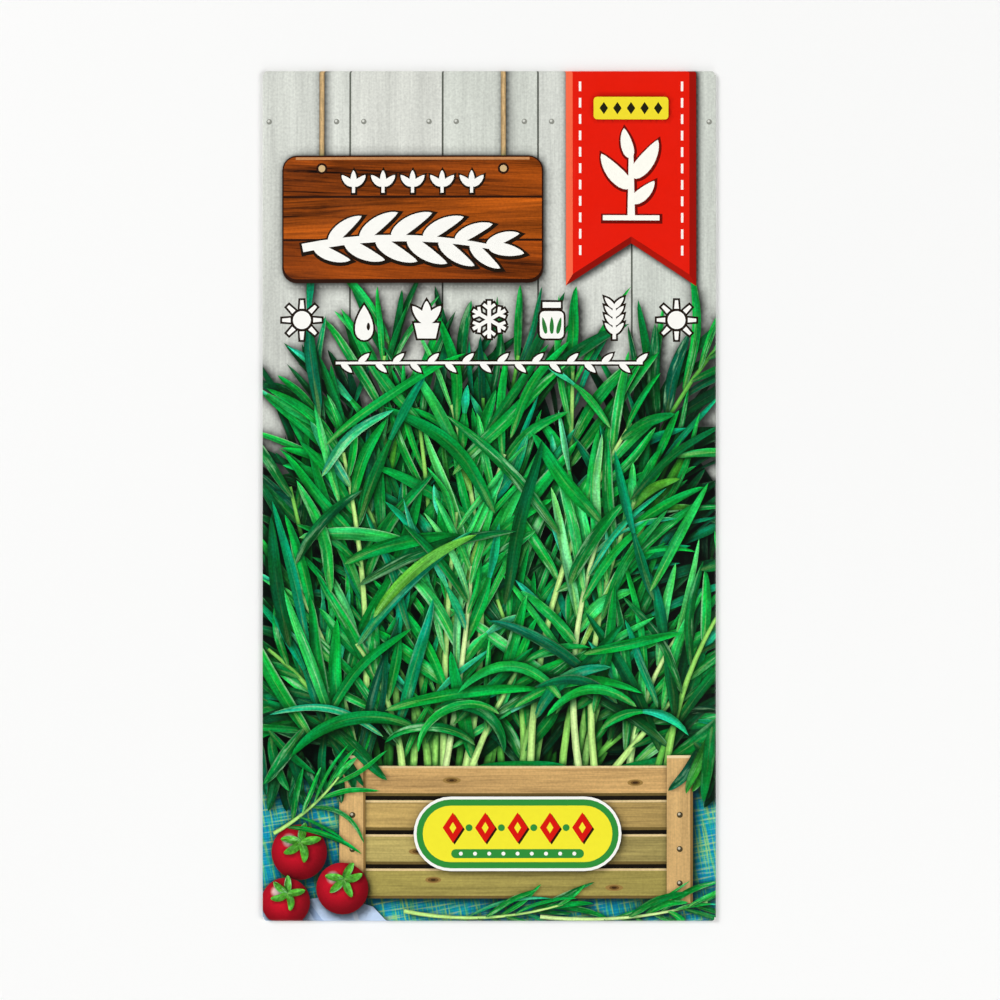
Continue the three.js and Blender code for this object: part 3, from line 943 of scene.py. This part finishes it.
def layBack():
    farX, farY = panelEnd + 1, flapEnd + 1
    for side in (-1, 1):
        layFlat(box(side * frontX, -farY, side * farX, farY), backPrint["cream"])
        layFlat(box(-farX, side * frontY, farX, side * farY), backPrint["cream"])
        layFlat(box(-farX, side * (flapStart + 2), farX, side * (flapEnd - 2)), backPrint["green"])
        for i in range(backPrint["dots"]):
            layFlat(disc((i - 7) * 4.6, side * (flapStart + flapEnd) / 2, 0.7, steps=12), backPrint["cream"])
        layPanel(side)


def layPanel(hand):   # each of the two lapped panels carries its own share of the print, to the lap's middle
    edge, reach, wide = sheet["lapWidth"] / 2, backPrint["reach"], backPrint["cellWide"]

    def bar(x0, y0, x1, y1, colour):
        low, high = (max(x0, -edge), x1) if hand > 0 else (x0, min(x1, edge))
        if high > low:
            layFlat([(hand * turned - x, y) for x, y in box(low, y0, high, y1)], backPrint[colour])

    turned = sideAt + panelStart   # what a place on the back and the same place on the blank add up to
    far = turned - frontX   # where the front's picture ends on the back
    bar(-far, 46, far, 55, "green")
    bar(-far, 44.6, far, 45.2, "red")
    for i in range(12):   # January at the left as the back is read
        x = reach - i * backPrint["month"] - wide
        for y, colour, months in backPrint["calendar"]:
            bar(x, y, x + wide, y + 4, "cell")
            if i in months:
                bar(x, y + 0.7, x + wide, y + 3.3, colour)
    for i in range(backPrint["rules"]):
        bar(-reach, 12 - i * 7, reach, 12.25 - i * 7, "rule")
    bar(-reach, -50, -9, -38, "cell")
    bar(-reach + 0.6, -49.4, -9.6, -38.6, "box")


def layFront():
    layBackdrop()
    layTable()
    layCrateBack()
    layThicket()
    for depth in bush["depths"]:
        layBushDepth(*depth)
    for rootX, tipX, tipY, bend, light in bush["corners"]:
        laySprig((rootX, -51), (tipX, tipY), bend, light, 7.0)
    layLooseLeaves()
    layCrateFront()
    layOverhang()
    layOnTable()
    layLabel()
    laySign()
    layPennant()
    layIcons()


# From shapes to a mesh

mesh = {
    "halo": (0.35, 0.9, 1.6),   # mm outside a big shape
    "haloStep": 0.7,
    "longestRim": 1.4,
    "frontGrid": 0.85,
    "backGrid": 5.0,
    "insideGrid": 5.0,
    "clear": 0.3,   # from the fold lines to the nearest grid point
    "merge": 1e-4,
    "sharpEdge": radians(35),
}


def foldLines():
    steps, jogSteps = sheet["foldSteps"], sheet["jogSteps"]
    sides = [sideAt + sideArc * i / steps for i in range(steps + 1)]
    ends = [endAt + endArc * i / steps for i in range(steps + 1)]
    jogs = [panelStart + sideAt - jogEnd + sheet["lapJog"] * i / jogSteps for i in range(jogSteps + 1)]
    lines = [((hand * u, -backLimit), (hand * u, backLimit)) for u in sides for hand in (-1, 1)]
    lines += [((u, -backLimit), (u, backLimit)) for u in jogs]
    lines += [((-sideAt, end * v), (sideAt, end * v)) for v in ends for end in (-1, 1)]
    return lines, sides + jogs, ends


def blankOutline():
    corner = [(sideAt, flapEnd), (sideAt, backLimit), (panelEnd, backLimit)]
    right = corner + [(u, -v) for u, v in reversed(corner)]
    return windLeft(right + [(-u, -v) for u, v in right])


def gridPoints(spacing, halfX, halfY):   # rows of points, each half a step along from the last
    _, sides, ends = foldLines()
    clear = mesh["clear"]
    points, row, y = [], 0, -halfY + clear
    while y < halfY:
        x = -halfX + clear + (row % 2) * spacing / 2
        while x < halfX:
            nearLine = min(abs(abs(x) - u) for u in sides) < clear
            if not nearLine and min(abs(abs(y) - v) for v in ends) > clear:
                points.append((x, y))
            x += spacing
        y += spacing * 0.866
        row += 1
    return points


# Everything inside the first outline, with the fold lines in steps. The last thing that comes back gives each
# point's new number.
def triangulate(outlines, points=(), step=None, seams=()):
    verts, edges, faces = [], [], []
    for outline in outlines:
        faces.append(list(range(len(verts), len(verts) + len(outline))))
        verts += outline
    for a, b in foldLines()[0] if step else ():
        count = round(dist(a, b) / step)
        edges += [(len(verts) + i, len(verts) + i + 1) for i in range(count)]
        verts += cut(a, b, count) + [b]
    for a, b in seams:
        edges.append((len(verts), len(verts) + 1))
        verts += [a, b]
    verts = [Vector(v) for v in (*verts, *points)]
    found, _, tris, sources, _, owners = delaunay_2d_cdt(verts, edges, faces, 0, mesh["merge"])
    kept = [i for i, owner in enumerate(owners) if 0 in owner]
    tris = np.array([tris[i] for i in kept])
    used = np.unique(tris) if step else np.arange(len(found))   # the map of the print keeps its spare points
    place = np.full(len(found), -1)
    place[used] = np.arange(len(used))
    number = {source: place[i] for i, group in enumerate(sources) for source in group}
    return np.array([tuple(found[i]) for i in used]), place[tris], [max(owners[i]) for i in kept], number


def haloPoints():   # rings outside the big shapes, where their shadows fall
    points = []
    for shape in artwork:
        if shape["edge"] >= 0.4 and shape["ink"] in ("flat", "wood", "fruit", "cloth"):
            for out in mesh["halo"]:
                ring = inSteps(grown(shape["outline"], out), mesh["haloStep"])
                points += [p for p in ring if abs(p[0]) < sideAt - 0.5 and abs(p[1]) < endAt - 0.5]
    return points


def visibleRims(points, tris, shapeOf):   # where one shape is seen to end on another
    edges = np.sort(tris[:, [0, 1, 1, 2, 2, 0]].reshape(-1, 2), axis=1)
    owner = np.repeat(shapeOf, 3)
    order = np.lexsort((edges[:, 1], edges[:, 0]))
    edges, owner = edges[order], owner[order]
    twin = (edges[1:] == edges[:-1]).all(axis=1)
    near = {}
    for a, b in edges[:-1][twin & (owner[1:] != owner[:-1])].tolist():
        near.setdefault(a, set()).add(b)
        near.setdefault(b, set()).add(a)
    for v in list(near):   # points in the middle of a straight run are dropped
        if len(near[v]) == 2:
            a, b = near[v]
            toA, toB = points[a] - points[v], points[b] - points[v]
            bent = abs(toA[0] * toB[1] - toA[1] * toB[0])
            reach = np.hypot(*(points[a] - points[b]))
            if b not in near[a] and bent < 0.002 * reach and reach < mesh["longestRim"]:
                for one, other in ((a, b), (b, a)):
                    near[one].remove(v)
                    near[one].add(other)
                del near[v]
    return [(tuple(points[a]), tuple(points[b])) for a in near for b in near[a] if a < b]


def printedSkin():
    blank = blankOutline()
    points, tris, tops, _ = triangulate([blank] + [shape["outline"] for shape in artwork])
    shapeOf = np.array(tops) - 1
    rims = visibleRims(points, tris, shapeOf)
    print("print mapped:", len(tris), "pieces before the hidden outlines go")
    flatMap = BVHTree.FromPolygons([(x, y, 0) for x, y in points.tolist()], tris.tolist())
    grid = gridPoints(mesh["frontGrid"], sideAt, endAt) + haloPoints()
    back = gridPoints(mesh["backGrid"], panelEnd, flapEnd)
    grid += [(x, y) for x, y in back if abs(x) > sideAt or abs(y) > endAt]
    points, tris, _, _ = triangulate([blank], grid, mesh["frontGrid"], rims)
    below = [flatMap.ray_cast((x, y, 1), (0, 0, -1))[2] for x, y in points[tris].mean(axis=1).tolist()]
    return points, tris, shapeOf[below]


def borderOf(tris):
    directed = {side for tri in tris.tolist() for side in sidesOf(tri)}
    after = {a: b for a, b in directed if (b, a) not in directed}
    loop = [next(iter(after))]
    while after[loop[-1]] != loop[0]:
        loop.append(after[loop[-1]])
    return loop


def plainSkin(border):
    grid = [(x, y) for x, y in gridPoints(mesh["insideGrid"], panelEnd - 1, flapEnd - 1)
            if abs(x) < sideAt - 1 or abs(y) < backLimit - 1]
    points, tris, _, number = triangulate([border], grid, mesh["insideGrid"])
    return points, tris, [number[i] for i in range(len(border))]


# Printed shadows. The front is looked at as a relief: each point is darker the more of what lies round it,
# and the more of what lies towards the light, stands higher than its own shape.
relief = {
    "wide": frontX + 3,   # mm either side of the middle, and above and below it
    "tall": frontY + 3,
    "cell": 0.2,
    "steep": 0.45,
    "soft": 0.4,
    "around": (0.8, 2.2, (0.25, 0.6, 1.1, 1.7)),   # darkest share, gain, and how far it looks in mm
    "towards": (0.76, 2.0, (0.3, 0.7, 1.2, 1.8, 2.5)),
    "fan": (-0.5, -0.17, 0.17, 0.5),   # directions either side of the light's
}


def topShapes():
    across, up = (np.arange(-relief[key], relief[key], relief["cell"]) for key in ("wide", "tall"))
    top = np.zeros((len(up), len(across)), int)
    for number, shape in enumerate(artwork):
        outline = np.array(shape["outline"])
        (x0, y0), (x1, y1) = outline.min(axis=0), outline.max(axis=0)
        cols = slice(*np.searchsorted(across, (x0, x1)))
        rows = slice(*np.searchsorted(up, (y0, y1)))
        x, y = np.meshgrid(across[cols], up[rows])
        inside = np.zeros(x.shape, bool)
        for (ax, ay), (bx, by) in zip(outline, np.roll(outline, -1, axis=0)):
            if ay != by:
                inside ^= ((ay > y) != (by > y)) & (x < ax + (y - ay) * (bx - ax) / (by - ay))
        top[rows, cols][inside] = number
    return top


def castShade(own, place):   # for places on the print and the shapes that they belong to
    top = topShapes()
    height, edge = (np.array([shape[key] for shape in artwork]) for key in ("height", "edge"))

    def hidden(dx, dy):   # how much the relief over there hides of the light, from 0 to 1
        col, row = ((place + (dx + relief["wide"], dy + relief["tall"])) / relief["cell"]).astype(int).T
        over = top[np.clip(row, 0, len(top) - 1), np.clip(col, 0, len(top[0]) - 1)]
        rise = np.maximum(height[over] - height[own], 0) * relief["steep"] + edge[over] * 2
        return np.clip((np.where(over > own, rise, 0) - hypot(dx, dy)) / relief["soft"] + 0.5, 0, 1)

    def light(darkest, gain, reaches, aims):
        total = sum(hidden(r * cos(a), r * sin(a)) for r in reaches for a in aims)
        return 1 - darkest * np.minimum(1, gain * total / (len(reaches) * len(aims)))

    shade = light(*relief["around"], turns(10))
    shade *= light(*relief["towards"], [bush["lightFrom"] + turn for turn in relief["fan"]])
    return np.where((np.abs(place[:, 0]) > frontX) | (np.abs(place[:, 1]) > frontY), 1, shade)


# outer and inner are the two skins' points on the blank. The print's corners come first in the mesh.
def setAttributes(data, outer, tris, shapeOf, inner):
    place, own = outer[tris.ravel()], np.repeat(shapeOf, 3)
    motif = np.zeros(place.shape)
    for number in np.unique(own):
        mine = own == number
        motif[mine] = artwork[number]["local"](place[mine])
    ink, tone = (np.array([shape[key] for shape in artwork])[own] for key in ("colour", "tone"))

    def fill(layer, field, values):   # any corners left over stay at 0
        size = values.size // len(values)
        every = np.zeros(len(data.loops) * size, np.float32)
        every[:values.size] = values.ravel()
        layer.data.foreach_set(field, every)

    fill(data.uv_layers.new(name="motif"), "uv", motif)
    fill(data.attributes.new("ink", "FLOAT_COLOR", "CORNER"), "color", ink)
    fill(data.attributes.new("shade", "FLOAT", "CORNER"), "value", castShade(own, place))
    fill(data.attributes.new("tone", "FLOAT", "CORNER"), "value", tone)

    # a flat layout of the blank to bake to: the print large, the plain side small in a free corner
    span = 2 * max(panelEnd, flapEnd) + 1
    flat = np.concatenate([outer / span + 0.5, inner / span * 0.075 + 0.06])
    corners = np.zeros(len(data.loops), np.int32)
    data.loops.foreach_get("vertex_index", corners)
    fill(data.uv_layers.new(name="OFBake"), "uv", flat[corners])


# The sheet isn't modelled by hand, because its print is cut into the skin as well: each outline that shows
# is a run of edges, so every face carries one ink
def makeEnvelope():
    layFront()
    layBack()
    print("print laid out:", len(artwork), "shapes")
    outer, tris, shapeOf = printedSkin()
    loop = borderOf(tris)
    inner, innerTris, innerLoop = plainSkin([tuple(outer[i]) for i in loop])
    print("skins:", len(tris), "printed and", len(innerTris), "plain triangles")
    base = len(outer)
    walls = [[a, base + c, base + d, b] for (a, b), (c, d) in zip(sidesOf(loop), sidesOf(innerLoop))]
    faces = tris.tolist() + (innerTris[:, ::-1] + base).tolist() + walls
    places = np.concatenate([foldSheet(outer, 1), foldSheet(inner, -1)]) * mm
    data = bpy.data.meshes.new("printed_envelope")
    data.from_pydata(places.tolist(), [], faces)
    order = list(inks)
    kinds = [order.index(artwork[i]["ink"]) for i in shapeOf] + [len(inks)] * (len(faces) - len(tris))
    data.polygons.foreach_set("material_index", kinds)
    setAttributes(data, outer, tris, shapeOf, inner)
    for name, recipe in inks.items():
        data.materials.append(newMaterial(name + "InkOnCoatedPaper", printedInk, *recipe))
    data.materials.append(newMaterial("bareCoatedPaper", bareStock))
    piece = bpy.data.objects.new("printed_envelope", data)
    bpy.context.collection.objects.link(piece)
    data.shade_smooth()
    data.set_sharp_from_angle(angle=mesh["sharpEdge"])
    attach(piece, "root")
    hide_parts("envelope")
    print("envelope made")


# The pieces that keep their CAD shape

def driedGlue(add):   # milky, a little glossy, with fine bubbles
    cloud, tone = mottled(add, 2.2, 3, "#d9d2bb", "#efe9d8")
    bump = add("Bump", {"Height": cloud, "Strength": 0.4, "Distance": 0.02 * mm})
    return {"Base Color": tone, "Roughness": 0.38, "IOR": 1.47, "Normal": bump}


def glassine(add):   # dense, smooth and faintly cloudy
    cloud, tone = mottled(add, 3.8, 5, "#d9d7cb", "#ecebe2")
    return {"Base Color": tone, "Roughness": add("MapRange", (cloud, 0, 1, 0.24, 0.4)), "IOR": 1.48}


def seedCoat(add):   # matt brown, finely furrowed, each seed a little different
    place = add("TexCoord").node.outputs["Object"]
    patch = add("TexVoronoi", (place, 1 / (0.9 * mm))).node.outputs["Color"]
    tone = add("Mix", (patch, "#3d2d1c", "#7b6344"), "RGBA")
    bump = add("Bump", {"Height": speckle(add, 0.17, 2), "Strength": 0.6, "Distance": 0.03 * mm})
    return {"Base Color": tone, "Roughness": 0.78, "Normal": bump}


def dressInside():
    glue = newMaterial("driedDispersionGlue", driedGlue)
    finishes = {"glue_back_seam": glue, "glue_bottom_flap": glue, "glue_top_flap": glue,
                "inner_sachet": newMaterial("calenderedGlassine", glassine),
                "seeds": newMaterial("dryAcheneCoat", seedCoat)}
    for node, material in finishes.items():
        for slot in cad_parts[node].material_slots:
            slot.material = material
    print("glue, sachet and seed dressed")


setStage()
makeEnvelope()
dressInside()
